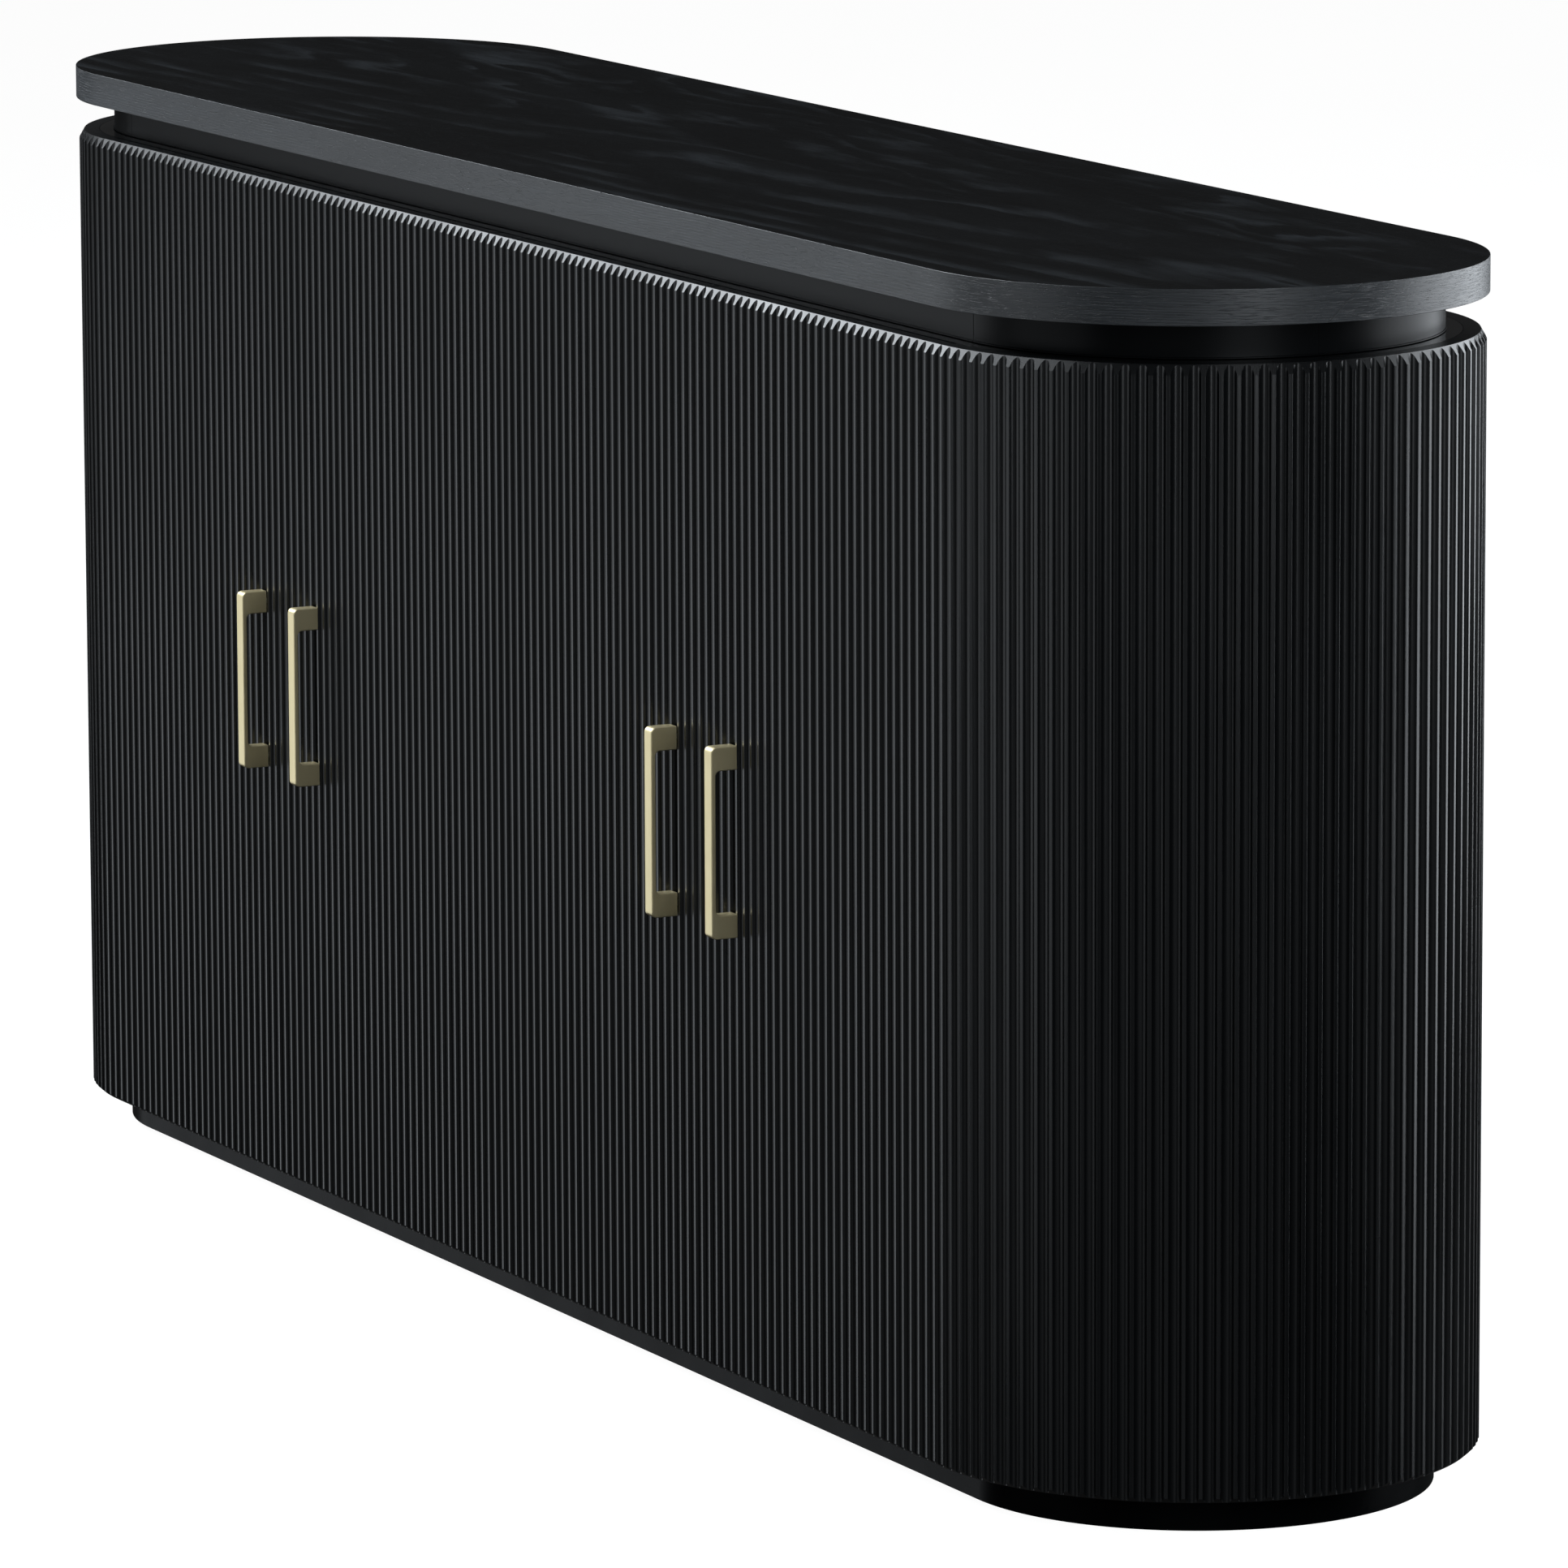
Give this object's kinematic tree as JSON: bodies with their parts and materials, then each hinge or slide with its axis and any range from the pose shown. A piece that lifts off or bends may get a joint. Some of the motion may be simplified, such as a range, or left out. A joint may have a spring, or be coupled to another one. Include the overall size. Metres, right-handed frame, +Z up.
{
  "type": "sideboard buffet",
  "caption": "Long low sideboard buffet with round ends, fluted black doors and sides, a stained oak top on a recessed riser, bar handles and shelves inside.",
  "frame": {"origin": "on the floor, under the middle of the case, on the underside of the plinth's centre cross rail", "axes": "+X along the length to the right seen from the front, +Y to the back, +Z up; the doors are at -Y"},
  "size_m": [1.83, 0.4183, 0.85],
  "materials": {
    "stained_oak": "black-stained open-pore oak veneer, satin",
    "black_lacquer": "satin black lacquer on board",
    "fluted_lacquer": "satin black lacquer on fluted board",
    "inside_black": "matt black melamine board",
    "back_board": "plain black hardboard",
    "champagne_metal": "satin champagne-gold plated metal",
    "nickel_steel": "bright nickel-plated pressed steel"
  },
  "bodies": {
    "carcass": {"top_slab": "stained_oak", "riser": "black_lacquer", "case_top": "black_lacquer", "plinth_front": "black_lacquer", "plinth_back": "black_lacquer", "plinth_end_left": "black_lacquer", "plinth_end_right": "black_lacquer", "case_bottom": "inside_black", "side_panel_left": "inside_black", "side_panel_right": "inside_black", "centre_divider": "inside_black", "shelf_left": "inside_black", "shelf_right": "inside_black", "plinth_cross_left": "inside_black", "plinth_cross_centre": "inside_black", "plinth_cross_right": "inside_black", "back_panel": "back_board", "round_end_left": "fluted_lacquer", "round_end_right": "fluted_lacquer", "shelf_pin_left_outer_front": "nickel_steel", "shelf_pin_left_outer_rear": "nickel_steel", "shelf_pin_left_inner_front": "nickel_steel", "shelf_pin_left_inner_rear": "nickel_steel", "shelf_pin_right_outer_front": "nickel_steel", "shelf_pin_right_outer_rear": "nickel_steel", "shelf_pin_right_inner_front": "nickel_steel", "shelf_pin_right_inner_rear": "nickel_steel", "hinge_arm_1_lower": "nickel_steel", "hinge_arm_1_upper": "nickel_steel", "hinge_arm_2_lower": "nickel_steel", "hinge_arm_2_upper": "nickel_steel", "hinge_arm_3_lower": "nickel_steel", "hinge_arm_3_upper": "nickel_steel", "hinge_arm_4_lower": "nickel_steel", "hinge_arm_4_upper": "nickel_steel"},
    "door_1": {"door_1": "fluted_lacquer", "handle_1": "champagne_metal", "handle_screw_1_lower": "nickel_steel", "handle_screw_1_upper": "nickel_steel", "hinge_cup_1_lower": "nickel_steel", "hinge_cup_1_upper": "nickel_steel"},
    "door_2": {"door_2": "fluted_lacquer", "handle_2": "champagne_metal", "handle_screw_2_lower": "nickel_steel", "handle_screw_2_upper": "nickel_steel", "hinge_cup_2_lower": "nickel_steel", "hinge_cup_2_upper": "nickel_steel"},
    "door_3": {"door_3": "fluted_lacquer", "handle_3": "champagne_metal", "handle_screw_3_lower": "nickel_steel", "handle_screw_3_upper": "nickel_steel", "hinge_cup_3_lower": "nickel_steel", "hinge_cup_3_upper": "nickel_steel"},
    "door_4": {"door_4": "fluted_lacquer", "handle_4": "champagne_metal", "handle_screw_4_lower": "nickel_steel", "handle_screw_4_upper": "nickel_steel", "hinge_cup_4_lower": "nickel_steel", "hinge_cup_4_upper": "nickel_steel"}
  },
  "joints": [
    {"name": "door_1_hinge", "type": "hinge", "parent": "carcass", "child": "door_1", "pos_m": [-0.714, -0.198, 0.4125], "axis": [0, 0, -1], "range_deg": [0, 105]},
    {"name": "door_2_hinge", "type": "hinge", "parent": "carcass", "child": "door_2", "pos_m": [-0.001, -0.198, 0.4125], "axis": [0, 0, 1], "range_deg": [0, 85]},
    {"name": "door_3_hinge", "type": "hinge", "parent": "carcass", "child": "door_3", "pos_m": [0.001, -0.198, 0.4125], "axis": [0, 0, -1], "range_deg": [0, 85]},
    {"name": "door_4_hinge", "type": "hinge", "parent": "carcass", "child": "door_4", "pos_m": [0.714, -0.198, 0.4125], "axis": [0, 0, 1], "range_deg": [0, 105]}
  ]
}
